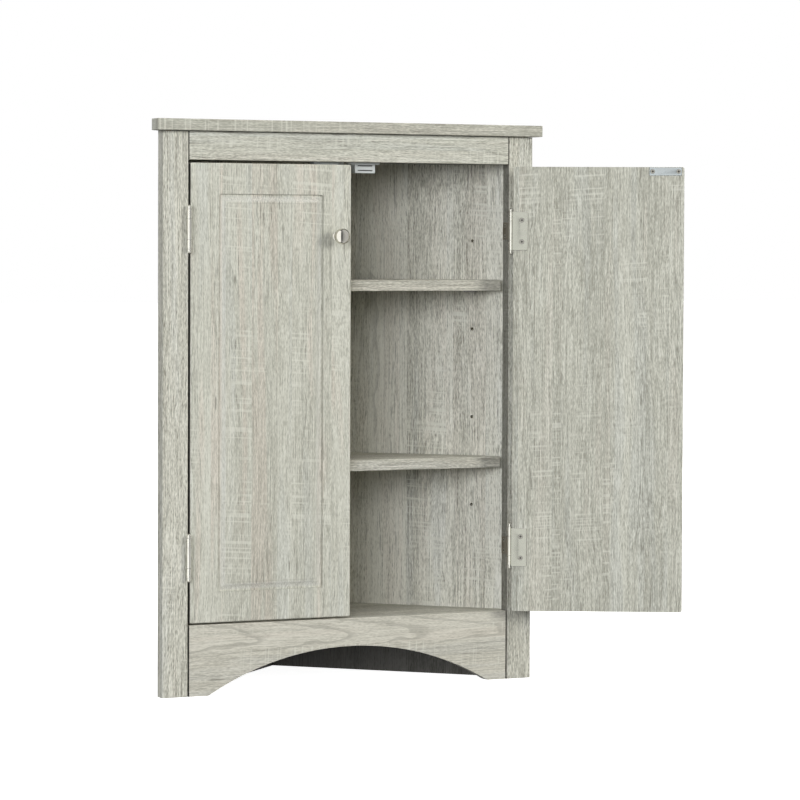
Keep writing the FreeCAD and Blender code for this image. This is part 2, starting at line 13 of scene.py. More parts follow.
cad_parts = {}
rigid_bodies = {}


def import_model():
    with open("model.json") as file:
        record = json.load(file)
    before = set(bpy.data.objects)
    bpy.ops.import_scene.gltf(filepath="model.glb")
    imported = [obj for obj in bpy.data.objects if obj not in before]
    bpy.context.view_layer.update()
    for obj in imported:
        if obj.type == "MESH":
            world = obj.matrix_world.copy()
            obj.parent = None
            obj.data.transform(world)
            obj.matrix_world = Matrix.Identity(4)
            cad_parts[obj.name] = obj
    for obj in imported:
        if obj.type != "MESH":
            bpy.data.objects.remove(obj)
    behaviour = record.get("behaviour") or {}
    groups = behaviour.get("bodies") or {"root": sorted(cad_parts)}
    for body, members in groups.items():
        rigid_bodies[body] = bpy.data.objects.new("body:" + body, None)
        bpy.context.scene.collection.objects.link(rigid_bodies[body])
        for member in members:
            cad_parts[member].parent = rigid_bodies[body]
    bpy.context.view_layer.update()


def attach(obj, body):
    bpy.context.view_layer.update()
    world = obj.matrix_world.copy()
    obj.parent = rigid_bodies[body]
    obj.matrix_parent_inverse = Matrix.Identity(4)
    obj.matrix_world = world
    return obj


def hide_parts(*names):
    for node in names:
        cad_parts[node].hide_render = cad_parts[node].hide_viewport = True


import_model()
MM = 0.001

# %% [markdown]
# ## The camera
# The photograph was taken from a few metres away with a long lens, from the left of the front.
# The camera stands at about four fifths of the cupboard's height and looks down by less than two degrees,
# so upright edges stay almost parallel. A small vertical shift puts the cupboard where the photo has it.

# %% Camera
CAMERA_PLACE = Vector((-1.9849, -4.6688, 0.6244))
CAMERA_YAW = math.radians(25.268)
CAMERA_PITCH = math.radians(1.771)
CAMERA_ROLL = math.radians(0.209)
FOCAL_MILLIMETRES, SENSOR_MILLIMETRES = 152.82, 36.0
VERTICAL_SHIFT = -0.06

lens_data = bpy.data.cameras.new("studio_camera")
lens_data.lens = FOCAL_MILLIMETRES
lens_data.sensor_width = SENSOR_MILLIMETRES
lens_data.shift_y = VERTICAL_SHIFT
camera = bpy.data.objects.new("studio_camera", lens_data)
bpy.context.scene.collection.objects.link(camera)
camera_turn = (
    Matrix.Rotation(-CAMERA_YAW, 4, "Z")
    @ Matrix.Rotation(math.pi / 2 - CAMERA_PITCH, 4, "X")
    @ Matrix.Rotation(CAMERA_ROLL, 4, "Z")
)
camera.matrix_world = Matrix.Translation(CAMERA_PLACE) @ camera_turn
bpy.context.scene.camera = camera
print("camera at", [round(v, 3) for v in camera.location])

# %% [markdown]
# ## Building shader nodes with short calls
# A procedural material is a graph of small nodes. Writing it out by hand takes three lines for every node,
# so this small helper class adds a node, sets its inputs and returns its output in one call.
# An input takes either a plain value or the output of another node.

# %% Node helper


def rgba(colour):
    """A plain colour of three numbers with its alpha; a node's output stays as it is."""
    return (*colour, 1) if isinstance(colour, tuple) else colour


class Nodes:
    """Short calls that add nodes to one shader tree."""

    def __init__(self, tree):
        self.tree = tree

    def add(self, kind, inputs=(), **settings):
        node = self.tree.nodes.new(kind)
        for name, value in settings.items():
            setattr(node, name, value)
        for socket, value in inputs:
            self.feed(node.inputs[socket], value)
        return node

    def feed(self, socket, value):
        if isinstance(value, bpy.types.NodeSocket):
            self.tree.links.new(value, socket)
        else:
            socket.default_value = value

    def place(self):
        """The point that is shaded, in its object's own coordinates."""
        return self.add("ShaderNodeTexCoord").outputs["Object"]

    def axes(self, vector):
        return self.add("ShaderNodeSeparateXYZ", ((0, vector),)).outputs

    def vector(self, x=0.0, y=0.0, z=0.0):
        return self.add("ShaderNodeCombineXYZ", ((0, x), (1, y), (2, z))).outputs[0]

    def moved(self, vector, turn, offset):
        inputs = (("Vector", vector), ("Rotation", turn), ("Location", offset))
        return self.add("ShaderNodeMapping", inputs).outputs[0]

    def math(self, operation, a, b=0.0):
        return self.add("ShaderNodeMath", ((0, a), (1, b)), operation=operation).outputs[0]

    def product(self, value, *others):
        for other in others:
            value = self.math("MULTIPLY", value, other)
        return value

    def total(self, value, *others):
        for other in others:
            value = self.math("ADD", value, other)
        return value

    def times(self, vector, scale):
        node = self.add("ShaderNodeVectorMath", ((0, vector), (1, scale)), operation="MULTIPLY")
        return node.outputs[0]

    def noise(self, vector, scale, detail=2.0, roughness=0.5):
        """Cloudy noise with its own scale along each axis, about 0.5 in the middle."""
        inputs = (("Vector", self.times(vector, scale)), ("Scale", 1.0), ("Detail", detail),
                  ("Roughness", roughness))
        return self.add("ShaderNodeTexNoise", inputs).outputs[0]

    def between(self, value, low, high, to_low=0.0, to_high=1.0):
        """A smooth step from to_low to to_high as the value goes from low to high."""
        inputs = (("Value", value), ("From Min", low), ("From Max", high), ("To Min", to_low),
                  ("To Max", to_high))
        return self.add("ShaderNodeMapRange", inputs, interpolation_type="SMOOTHSTEP").outputs[0]

    def mix(self, factor, a, b):
        inputs = ((0, factor), (6, rgba(a)), (7, rgba(b)))
        return self.add("ShaderNodeMix", inputs, data_type="RGBA", clamp_factor=False).outputs[2]

    def ramp(self, value, stops):
        node = self.add("ShaderNodeValToRGB", (("Fac", value),))
        elements = node.color_ramp.elements
        while len(elements) < len(stops):
            elements.new(0.5)
        for element, (place, colour) in zip(elements, stops):
            element.position = place
            element.color = rgba(colour)
        return node.outputs[0]

    def bump(self, height, strength, distance):
        inputs = (("Height", height), ("Strength", strength), ("Distance", distance))
        return self.add("ShaderNodeBump", inputs).outputs[0]

    def use(self, group, inputs):
        """Places a finished group in this tree and returns its outputs."""
        return self.add("ShaderNodeGroup", inputs, node_tree=group.tree).outputs


FLOAT, COLOUR, VECTOR = "NodeSocketFloat", "NodeSocketColor", "NodeSocketVector"
print("node helper calls:", sum(not name.startswith("_") for name in vars(Nodes)))

# %% [markdown]
# ## Groups and materials
# An effect that several materials share is built once as a node group with named sockets, and each material
# places it with its own values. The shader itself stays in the material.

# %% Groups and materials


def shader_group(name, inputs, outputs):
    """A node group with named sockets: its helper, what it is given and what it puts out."""
    tree = bpy.data.node_groups.new(name, "ShaderNodeTree")
    for socket_name, kind, value in inputs:
        socket = tree.interface.new_socket(socket_name, in_out="INPUT", socket_type=kind)
        if value is not None:
            socket.default_value = value
    for socket_name, kind in outputs:
        tree.interface.new_socket(socket_name, in_out="OUTPUT", socket_type=kind)
    nodes = Nodes(tree)
    given = nodes.add("NodeGroupInput").outputs
    result = nodes.add("NodeGroupOutput").inputs
    return nodes, given, result


def new_material(name):
    material = bpy.data.materials.new(name)
    material.use_nodes = True
    nodes = Nodes(material.node_tree)
    return material, nodes, material.node_tree.nodes["Principled BSDF"]


def dress(nodes, shader, colour, roughness, normal):
    for socket, value in (("Base Color", colour), ("Roughness", roughness), ("Normal", normal)):
        nodes.feed(shader.inputs[socket], value)


def finish_nodes(material, names):
    """Gives every slot of these CAD nodes one material."""
    for name in names:
        slots = bpy.data.objects[name].data.materials
        slots.clear()
        slots.append(material)


print("CAD materials before the dressing:", len(bpy.data.materials))

# %% [markdown]
# ## The washed oak print
# The boards are not solid oak: a paper foil printed with rough-sawn, grey-washed oak is pressed on to
# particle board. An image would be the usual way to show it, but noise that is stretched along the grain
# works on any board from any side. One group draws the print in layers from one vector, with the grain
# along its Z axis. A layer's scale is in cells per metre across, through and along the grain.

# %% Oak print group
PALE_OAK = (0.696, 0.694, 0.606)
MIDDLE_OAK = (0.545, 0.542, 0.460)
GREY_OAK = (0.350, 0.345, 0.288)
PORE_OAK = (0.250, 0.242, 0.202)

oak, oak_in, oak_out = shader_group(
    "washed_oak_print",
    (("Grain Vector", VECTOR, None), ("Loops", FLOAT, 0.3), ("Saw Marks", FLOAT, 1.0), ("Shade", FLOAT, 0.0),
     ("Contrast", FLOAT, 1.0), ("Rose", FLOAT, 0.4), ("Warmth", FLOAT, 0.0)),
    (("Color", COLOUR), ("Roughness", FLOAT), ("Height", FLOAT)),
)


def sway_of(noise_value, reach):
    """Noise about 0.5 as a sway about 0."""
    return oak.product(oak.math("SUBTRACT", noise_value, 0.5), reach)


print("oak print inputs:", [socket.name for socket in oak_in if socket.name])

# %% [markdown]
# ### Planks and the sway of the grain
# The print shows planks side by side. Stripes of two widths, laid over each other, cut the board into
# planks of uneven width, and white noise gives each its own tone, hue and start along the grain. Straight
# noise would look combed, so the grain sways in three waves, from a slow bow along the plank to a ripple
# under a millimetre.

# %% Planks and sway
PLANK_STEPS = (0.061, 0.083)
PLANK_SHIFT = 3.0
WAVES = (((6.0, 6.0, 1.4), 0.04), ((14.0, 14.0, 5.0), 0.010), ((60.0, 60.0, 22.0), 0.0007))

across, depth, along = oak.axes(oak_in["Grain Vector"])
planks = [oak.math("FLOOR", oak.math("DIVIDE", across, step)) for step in PLANK_STEPS]
plank_number = (("Vector", oak.vector(*planks)),)
plank_random = oak.add("ShaderNodeTexWhiteNoise", plank_number, noise_dimensions="2D").outputs
plank_chance = plank_random["Value"]
plank_hue = oak.axes(plank_random["Color"])[1]
plank_along = oak.total(along, oak.product(plank_chance, PLANK_SHIFT))
plank_vector = oak.vector(across, depth, plank_along)
waves = [oak.noise(plank_vector, scale, 1.0) for scale, _ in WAVES]
sway = oak.total(*[sway_of(wave, reach) for wave, (_, reach) in zip(waves, WAVES)])
wavy_vector = oak.vector(oak.total(across, sway), oak.total(depth, sway), plank_along)
print("plank stripes:", PLANK_STEPS, "waves:", len(waves))

# %% [markdown]
# ### Bands, fibres and pores
# Broad bands, streaks, fine fibres and short flecks make the grey and pale tones of the grain.
# Oak's large pores are cut open along the board and show as short dark dashes, crowded in some zones only.

# %% Bands, fibres and pores
BAND_SCALE, STREAK_SCALE = (30.0, 30.0, 1.2), (330.0, 330.0, 8.0)
FIBRE_SCALE, FLECK_SCALE = (950.0, 950.0, 9.0), (1200.0, 1200.0, 170.0)
PORE_SCALE, PORE_ZONE_SCALE = (640.0, 640.0, 30.0), (45.0, 45.0, 2.4)
PORE_STEP, PORE_ZONE_STEP = (0.60, 0.68), (0.44, 0.64)

bands = oak.noise(wavy_vector, BAND_SCALE, 2.0)
streaks = oak.noise(wavy_vector, STREAK_SCALE, 2.0, 0.55)
fibres = oak.noise(wavy_vector, FIBRE_SCALE, 2.0, 0.6)
flecks = oak.noise(wavy_vector, FLECK_SCALE, 1.0)
pores = oak.between(oak.noise(wavy_vector, PORE_SCALE, 1.0), *PORE_STEP)
pore_zone = oak.between(oak.noise(wavy_vector, PORE_ZONE_SCALE, 1.0), *PORE_ZONE_STEP)
pore_mask = oak.product(pores, pore_zone)
print("oak print nodes so far:", len(oak.tree.nodes))

# %% [markdown]
# ### Loops of the year rings
# Where a plank is cut along the outside of the trunk, its year rings show as long nested loops.
# Height lines do the same on a map, so a slow noise is cut into many equal steps and a thin line is kept
# of each.

# %% Year rings
RING_SCALE, RING_ZONE_SCALE = (8.0, 8.0, 0.6), (9.0, 9.0, 3.0)
RING_STEPS, RING_WOBBLE = 60.0, 0.014
RING_RISE, RING_FALL, RING_ZONE_STEP = (0.68, 0.92), (1.0, 0.96), (0.40, 0.58)

ring_vector = oak.vector(across, depth, along)
ring_field = oak.total(oak.noise(ring_vector, RING_SCALE, 0.0), sway_of(waves[-1], RING_WOBBLE))
ring_share = oak.math("FRACT", oak.product(ring_field, RING_STEPS))
ring_line = oak.product(oak.between(ring_share, *RING_RISE), oak.between(ring_share, *RING_FALL))
ring_zone = oak.between(oak.noise(ring_vector, RING_ZONE_SCALE, 0.0), *RING_ZONE_STEP)
ring_mask = oak.product(ring_line, ring_zone, oak_in["Loops"])
print("steps of the ring noise:", RING_STEPS)

# %% [markdown]
# ### Saw marks
# A coarse saw leaves pale, slightly slanting lines across the grain, and planing takes most of them away.
# Noise along one axis gives the lines, with another start on each plank, and a cloudy mask leaves them
# in patches.

# %% Saw marks
SAW_SLANT, SAW_START = 0.06, 40.0
SAW_LINE_SCALE, SAW_PATCH_SCALE = (1.0, 1.0, 270.0), (17.0, 17.0, 6.0)
SAW_LINE_STEP, SAW_PATCH_STEP = (0.56, 0.68), (0.51, 0.64)

saw_along = oak.total(plank_along, oak.product(across, SAW_SLANT))
saw_vector = oak.vector(x=oak.product(plank_chance, SAW_START), z=saw_along)
saw_lines = oak.between(oak.noise(saw_vector, SAW_LINE_SCALE, 0.0), *SAW_LINE_STEP)
saw_patch = oak.between(oak.noise(plank_vector, SAW_PATCH_SCALE, 2.0), *SAW_PATCH_STEP)
saw_mask = oak.product(saw_lines, saw_patch, oak_in["Saw Marks"])
print("saw line cells per metre:", SAW_LINE_SCALE[2])

# %% [markdown]
# ### Colour, gloss and relief
# The layers add up to one tone, which a ramp turns into grey, middle and pale oak. The wash leaves some
# streaks rosy and others cool: tints that multiply keep the grain's contrast, where a flat colour laid over
# it would hide it. Rings, pores and saw marks come on top, and the same layers give the foil its gloss and
# its relief.

# %% Oak colour, gloss and relief
TONE_LAYERS = ((bands, 0.55), (streaks, 0.25), (fibres, 1.90), (flecks, 1.60))
PLANK_TONE, TONE_RANGE = 0.30, (1.495, 2.805)
WASH_SCALE, PLANK_WASH = (55.0, 55.0, 2.4), 0.25
ROSE_TINT, ROSE_STEP = (1.08, 0.97, 0.96), (0.56, 0.72)
COOL_TINT, COOL_STEP, COOL_SHARE = (0.97, 0.995, 1.05), (0.46, 0.30), 0.45
MARKS = ((ring_mask, 0.60, PORE_OAK), (pore_mask, 0.80, PORE_OAK), (saw_mask, 0.50, PALE_OAK))
GREY_ROUGHNESS, PALE_ROUGHNESS = 0.60, 0.44
FIBRE_RELIEF, PORE_RELIEF, SAW_RELIEF = 0.6, 0.8, 0.4

layers = [oak.product(layer, weight) for layer, weight in TONE_LAYERS]
tone = oak.total(*layers, sway_of(plank_chance, PLANK_TONE))
tone = oak.between(oak.math("SUBTRACT", tone, oak_in["Shade"]), *TONE_RANGE)
oak_colour = oak.ramp(tone, ((0.0, GREY_OAK), (0.50, MIDDLE_OAK), (1.0, PALE_OAK)))
oak_colour = oak.mix(oak_in["Contrast"], MIDDLE_OAK, oak_colour)
wash = oak.total(oak.noise(wavy_vector, WASH_SCALE, 1.0), sway_of(plank_hue, PLANK_WASH))
rosy = oak.total(oak.product(oak.between(wash, *ROSE_STEP), oak_in["Rose"]), oak_in["Warmth"])
cool = oak.between(wash, *COOL_STEP, 0.0, COOL_SHARE)
for share, tint in ((rosy, ROSE_TINT), (cool, COOL_TINT)):
    oak_colour = oak.mix(share, oak_colour, oak.times(oak_colour, tint))
for mask, strength, mark_colour in MARKS:
    oak_colour = oak.mix(oak.product(mask, strength), oak_colour, mark_colour)
oak.feed(oak_out["Color"], oak_colour)
oak.feed(oak_out["Roughness"], oak.between(tone, 0.0, 1.0, GREY_ROUGHNESS, PALE_ROUGHNESS))
relief = oak.math("SUBTRACT", oak.product(fibres, FIBRE_RELIEF), oak.product(pore_mask, PORE_RELIEF))
oak.feed(oak_out["Height"], oak.total(relief, oak.product(saw_mask, SAW_RELIEF)))
print("oak print nodes:", len(oak.tree.nodes))

# %% [markdown]
# ## Painted light in the doors' groove
# The doors are pressed from the front: the foil is drawn down into a routed groove, where it stretches.
# A paler, cooler stripe along the groove is a painted highlight, for the light that the cove catches, and a
# thin dark line along both edges of the groove is painted shadow. The group works out how far a point lies
# inside the groove's outer edge, on a door in its closed place.

# %% Groove group
# Painted highlight in the groove's pale stripe, painted shadow along its edges.
GROOVE_SIDES, GROOVE_LEVELS = (44.25 * MM, 202.5 * MM), (144.5 * MM, 697 * MM)
GROOVE_WIDTH, DOOR_MIDDLE = 12.5 * MM, -297 * MM
HIGHLIGHT_START, HIGHLIGHT_END = (1.5 * MM, 4 * MM), (GROOVE_WIDTH - 1 * MM, GROOVE_WIDTH - 3 * MM)
SHADOW_LINE_REACH = (1.1 * MM, 0.2 * MM)
GROOVE_HIGHLIGHT, GROOVE_SHADOW = (0.660, 0.655, 0.625), (0.240, 0.235, 0.200)
HIGHLIGHT_STRENGTH, SHADOW_LINE_STRENGTH = 0.22, 0.22

groove, groove_in, groove_out = shader_group(
    "groove_painted_light", (("Door Vector", VECTOR, None), ("Color", COLOUR, None)), (("Color", COLOUR),))
sideways, frontways, level = groove.axes(groove_in["Door Vector"])


def inside_of(value, limits):
    """How far a value lies inside its nearer limit."""
    low, high = limits
    return groove.math("MINIMUM", groove.math("SUBTRACT", value, low), groove.math("SUBTRACT", high, value))


def off_half_width(value):
    return groove.math("ABSOLUTE", groove.math("SUBTRACT", value, GROOVE_WIDTH / 2))


inside = groove.math("MINIMUM", inside_of(groove.math("ABSOLUTE", sideways), GROOVE_SIDES),
                     inside_of(level, GROOVE_LEVELS))
on_front = groove.math("LESS_THAN", frontways, DOOR_MIDDLE)
groove_highlight_band = groove.product(groove.between(inside, *HIGHLIGHT_START), groove.between(inside, *HIGHLIGHT_END))
groove_shadow_line = groove.between(off_half_width(off_half_width(inside)), *SHADOW_LINE_REACH)
foil = groove_in["Color"]
painted_light_marks = ((groove_highlight_band, HIGHLIGHT_STRENGTH, GROOVE_HIGHLIGHT), (groove_shadow_line, SHADOW_LINE_STRENGTH, GROOVE_SHADOW))
for mask, strength, painted_colour in painted_light_marks:
    foil = groove.mix(groove.product(mask, on_front, strength), foil, painted_colour)
groove.feed(groove_out["Color"], foil)
print("groove nodes:", len(groove.tree.nodes))

# %% [markdown]
# ## Painted shade at edges and joints
# The posts' inner edges are made darker than their faces. The ends of the rail and the apron have broken
# corners, and the fine dark line against the posts is painted shade for the shadow in that joint. The closed
# door's hinge edge gets painted shade in its gap too. All of these lie at a fixed distance from the
# cupboard's middle, so one small group darkens the print between two such distances, and paints shade on
# the catch rail behind the top rail all over. It also darkens the walls' inner faces below the bottom panel,
# which show through the arch and are deeper in shadow than soft lights give: painted shade.

# %% Edge group
# Painted shade: the print is multiplied by EDGE_SHADE wherever the mask is full.
EDGE_SHADE = (0.055, 0.053, 0.054)
INNER_FACE_STEP = (-20 * MM, -22 * MM)
PANEL_UNDERSIDE_STEP = (83 * MM, 82 * MM)

edge, edge_in, edge_out = shader_group(
    "edge_shade",
    (("Vector", VECTOR, None), ("Color", COLOUR, None), ("Start", FLOAT, 0.0), ("Full", FLOAT, 1.0),
     ("Amount", FLOAT, 0.5), ("Low Walls", FLOAT, 0.0)),
    (("Color", COLOUR),),
)
edge_x, edge_y, edge_z = edge.axes(edge_in["Vector"])
from_middle = edge.math("ABSOLUTE", edge_x)
edge_mask = edge.product(edge.between(from_middle, edge_in["Start"], edge_in["Full"]), edge_in["Amount"])
on_inner_face = edge.between(edge.total(from_middle, edge_y), *INNER_FACE_STEP)
# Painted shade on the walls' inner faces below the bottom panel.
low_inside = edge.product(on_inner_face, edge.between(edge_z, *PANEL_UNDERSIDE_STEP))
edge_mask = edge.math("MAXIMUM", edge_mask, edge.product(low_inside, edge_in["Low Walls"]))
darkened = edge.times(edge_in["Color"], EDGE_SHADE)
edge.feed(edge_out["Color"], edge.mix(edge_mask, edge_in["Color"], darkened))
print("edge nodes:", len(edge.tree.nodes))

# %% [markdown]
# ## One print, laid along each board
# Each board is wrapped with the grain along its length, so the same group is used with the vector turned
# for uprights, for the rail and apron, for the flat boards, for the two walls at 45 degrees and for the
# open door. An offset moves the print, as two boards are never cut from the same part of the roll.

# %% A board's material
RIGHT_DOOR_ANGLE = 152.0
HINGE_X, HINGE_Y = 248.9 * MM, -310 * MM
HINGE_LINE = Vector((HINGE_X, HINGE_Y, 0))
FOIL_BUMP, FOIL_RELIEF, FOIL_SPECULAR = 0.25, 0.25 * MM, 0.35


def oak_board(name, turn=(0, 0, 0), offset=(0, 0, 0), loops=0.2, saw=1.0, shade=0.0, contrast=1.0, rose=0.15,
              warmth=0.0, door_turn=None, dark_edge=None, low_walls=0.0):
    """A board's material; a door's groove gets painted light, from the angle that it stands open at rest."""
    material, nodes, shader = new_material(name)
    place = nodes.place()
    grain = nodes.moved(place, tuple(math.radians(a) for a in turn), offset)
    inputs = (("Grain Vector", grain), ("Loops", loops), ("Saw Marks", saw), ("Shade", shade),
              ("Contrast", contrast), ("Rose", rose), ("Warmth", warmth))
    oak_print = nodes.use(oak, inputs)
    colour = oak_print["Color"]
    if door_turn is not None:
        back = Matrix.Rotation(-door_turn, 3, "Z")
        closed = nodes.moved(place, (0, 0, -door_turn), HINGE_LINE - back @ HINGE_LINE)
        colour = nodes.use(groove, (("Door Vector", closed), ("Color", colour)))["Color"]
    if dark_edge is not None:
        start, full, amount = dark_edge
        colour = nodes.use(edge, (("Vector", place), ("Color", colour), ("Start", start), ("Full", full),
                                  ("Amount", amount), ("Low Walls", low_walls)))["Color"]
    normal = nodes.bump(oak_print["Height"], FOIL_BUMP, FOIL_RELIEF)
    dress(nodes, shader, colour, oak_print["Roughness"], normal)
    shader.inputs["Specular IOR Level"].default_value = FOIL_SPECULAR
    return material


print("right door at rest:", RIGHT_DOOR_ANGLE, "degrees open")

# %% [markdown]
# ### Every board
# The posts, doors, walls, rails, apron, top and shelves each get their own cut of the print. Some are a
# little warmer, darker or stronger in the grain, as the photograph shows them. A dark edge is given by the
# distances from the middle at which it starts and is full, and by its strength; at the joints, the closed
# door's gap and the catch rail it is painted shade, and low_walls paints shade below the bottom panel.

# %% Oak boards
LEVEL_FRONT = (0, -90, 0)
LEVEL_FLAT = (-90, -90, 0)
# The posts' inner edges are darkened; the joint lines, the closed door's gap and the catch rail get painted
# shade.
POST_EDGE = (248.6 * MM, 248.2 * MM, 0.64)
JOINT_SHADE_LINE = (246.4 * MM, 247.0 * MM, 0.97)
APRON_SHADE_LINE = (245.4 * MM, 246.2 * MM, 0.97)
DOOR_GAP_SHADE = (244.4 * MM, 245.2 * MM, 0.95)
IN_SHADOW = (-2 * MM, -1 * MM, 0.85)
NO_EDGE = (0.0, 1.0, 0.0)
OPEN_TURN = math.radians(RIGHT_DOOR_ANGLE)
OAK_BOARDS = {
    "oak_upright": (("left_post", "right_post"),
                    dict(contrast=1.6, shade=0.08, warmth=0.10, dark_edge=POST_EDGE)),
    "oak_left_door": (("left_door",),
                      dict(offset=(0.031, 0.4, 0.9), loops=0.15, rose=0.45, door_turn=0.0,
                           dark_edge=DOOR_GAP_SHADE)),
    "oak_right_door": (("right_door",),
                       dict(turn=(0, 0, -RIGHT_DOOR_ANGLE), offset=(0.011, 0.9, 2.3), shade=0.08,
                            contrast=1.15, door_turn=OPEN_TURN)),
    # Both walls: low_walls paints shade on their inner faces below the bottom panel.
    "oak_right_wall": (("right_wall_panel",),
                       dict(turn=(0, 0, 45), offset=(0.2, 0.1, 4.1), loops=0.5, saw=1.4, shade=-0.20,
                            contrast=1.6, warmth=0.10, dark_edge=NO_EDGE, low_walls=0.93)),
    "oak_left_wall": (("left_wall_panel",),
                      dict(turn=(0, 0, -45), offset=(0.1, 0.3, 5.7), saw=1.4, contrast=1.3, warmth=0.10,
                           dark_edge=NO_EDGE, low_walls=0.93)),
    "oak_rail": (("top_rail",),
                 dict(turn=LEVEL_FRONT, offset=(0.03, 0.2, 1.7), contrast=1.2, dark_edge=JOINT_SHADE_LINE)),
    "oak_catch_rail": (("catch_rail",),
                       dict(turn=LEVEL_FRONT, offset=(0.3, 0.2, 0.4), dark_edge=IN_SHADOW)),
    "oak_apron": (("apron",),
                  dict(turn=LEVEL_FRONT, offset=(0.145, 0.5, 3.11), loops=0.65, contrast=0.8, warmth=0.25,
                       dark_edge=APRON_SHADE_LINE)),
    "oak_top": (("top_panel",), dict(turn=LEVEL_FLAT, shade=0.05)),
    "oak_shelf": (("upper_shelf", "lower_shelf", "bottom_panel"),
                  dict(turn=LEVEL_FLAT, offset=(0.07, 0.3, 2.1), shade=0.25, contrast=1.2, warmth=0.2)),
}

for finish, (names, settings) in OAK_BOARDS.items():
    finish_nodes(oak_board(finish, **settings), names)
print("oak boards:", sum(len(names) for names, _ in OAK_BOARDS.values()))

# %% [markdown]
# ## Metal
# The hinges are satin nickel and the knobs are polished: a warm grey metal with faint brushing and small
# changes in gloss. The hinge barrels get a brighter tint than the leaves: a painted highlight, for the light
# that their curve catches.
# One group gives every metal its brushing and smudges, so each needs only a tint, a gloss and a relief.

# %% Metal group
BRUSHING_SCALE, SMUDGE_SCALE = (300.0, 300.0, 2500.0), (60.0, 60.0, 60.0)
SMUDGE_TINT, SMUDGE_STEP, SMUDGE_SHARE = (0.36, 0.35, 0.31), (0.35, 0.75), 0.12
DULL_STEP, DULL_AMOUNT = (0.3, 0.8), 0.06
BRUSHING_DEPTH = 0.05 * MM
BARREL_RADIUS = 3.4 * MM
BARREL_STEP = (BARREL_RADIUS + 0.5 * MM, BARREL_RADIUS + 0.2 * MM)

metal, metal_in, metal_out = shader_group(
    "brushed_metal",
    (("Vector", VECTOR, None), ("Tint", COLOUR, (0.6, 0.6, 0.6, 1)), ("Gloss", FLOAT, 0.25)),
    (("Color", COLOUR), ("Roughness", FLOAT), ("Height", FLOAT)),
)
brushing = metal.noise(metal_in["Vector"], BRUSHING_SCALE, 2.0)
smudges = metal.noise(metal_in["Vector"], SMUDGE_SCALE, 2.0)
smudged = metal.between(smudges, *SMUDGE_STEP, 0.0, SMUDGE_SHARE)
metal.feed(metal_out["Color"], metal.mix(smudged, metal_in["Tint"], SMUDGE_TINT))
dulled = metal.between(smudges, *DULL_STEP, 0.0, DULL_AMOUNT)
metal.feed(metal_out["Roughness"], metal.total(metal_in["Gloss"], dulled))
metal.feed(metal_out["Height"], brushing)


def near_hinge_line(nodes, place):
    """1 on the hinge barrels and 0 on the leaves, by the distance from the nearer hinge line."""
    x, y, _ = nodes.axes(place)
    off_x = nodes.math("SUBTRACT", nodes.math("ABSOLUTE", x), HINGE_X)
    off_y = nodes.math("SUBTRACT", y, HINGE_Y)
    squares = nodes.total(nodes.product(off_x, off_x), nodes.product(off_y, off_y))
    return nodes.between(nodes.math("SQRT", squares), *BARREL_STEP)


def metal_finish(name, tint, gloss, relief, barrel_highlight_tint=None):
    material, nodes, shader = new_material(name)
    place = nodes.place()
    colour = rgba(tint)
    # Painted highlight: the hinge barrels get a brighter tint.
    if barrel_highlight_tint is not None:
        colour = nodes.mix(near_hinge_line(nodes, place), tint, barrel_highlight_tint)
    brushed = nodes.use(metal, (("Vector", place), ("Tint", colour), ("Gloss", gloss)))
    normal = nodes.bump(brushed["Height"], relief, BRUSHING_DEPTH)
    dress(nodes, shader, brushed["Color"], brushed["Roughness"], normal)
    shader.inputs["Metallic"].default_value = 1.0
    return material


print("metal nodes:", len(metal.tree.nodes))

# %% [markdown]
# ## Hardware finishes
# The leaves on the frame get a darker, browner tint than those on the doors: painted shade and a painted
# reflection of the dark inside. Strike plates are bright steel, pole plates dark steel, and the shelf
# supports dark steel as painted shade. Cams and bolts are die-cast zinc, catches white plastic, the magnets
# dark ferrite and the dowels beech, and screw recesses are near-black as painted shade. What isn't metal only
# drifts a little between two tones.

# %% Hardware finishes
SPECKLE_STEP, SPECKLE_GLOSS = (0.3, 0.7), 0.06
SPECKLE_BUMP, SPECKLE_DEPTH = 0.15, 0.1 * MM
# Painted highlight tint for the hinge barrels.
BARREL_HIGHLIGHT = (0.82, 0.81, 0.74)


def speckled_finish(name, low, high, scale, roughness):
    """A matt material whose colour drifts between two tones."""
    material, nodes, shader = new_material(name)
    speckle = nodes.noise(nodes.place(), scale, 3.0)
    colour = nodes.ramp(speckle, list(zip(SPECKLE_STEP, (low, high))))
    gloss = nodes.between(speckle, *SPECKLE_STEP, roughness - SPECKLE_GLOSS, roughness + SPECKLE_GLOSS)
    dress(nodes, shader, colour, gloss, nodes.bump(speckle, SPECKLE_BUMP, SPECKLE_DEPTH))
    return material


nickel = metal_finish("satin_nickel", (0.44, 0.445, 0.385), 0.24, 0.03, BARREL_HIGHLIGHT)
# Painted shade and a painted reflection of the dark inside, for the leaves on the frame.
shaded_nickel = metal_finish("shaded_nickel", (0.21, 0.185, 0.155), 0.30, 0.03, BARREL_HIGHLIGHT)
polished_nickel = metal_finish("polished_nickel", (0.72, 0.70, 0.63), 0.10, 0.02)
steel = metal_finish("bright_steel_plate", (0.45, 0.49, 0.50), 0.26, 0.04)
# Dark steel for the pole plates; on the shelf supports and the hinge leaves' bevels it is painted shade.
dark_steel_and_shade = metal_finish("dark_steel_and_shade", (0.16, 0.16, 0.16), 0.35, 0.05)
zinc = metal_finish("cast_zinc", (0.34, 0.34, 0.34), 0.42, 0.25)
screw_steel = metal_finish("screw_steel", (0.36, 0.35, 0.31), 0.30, 0.03)
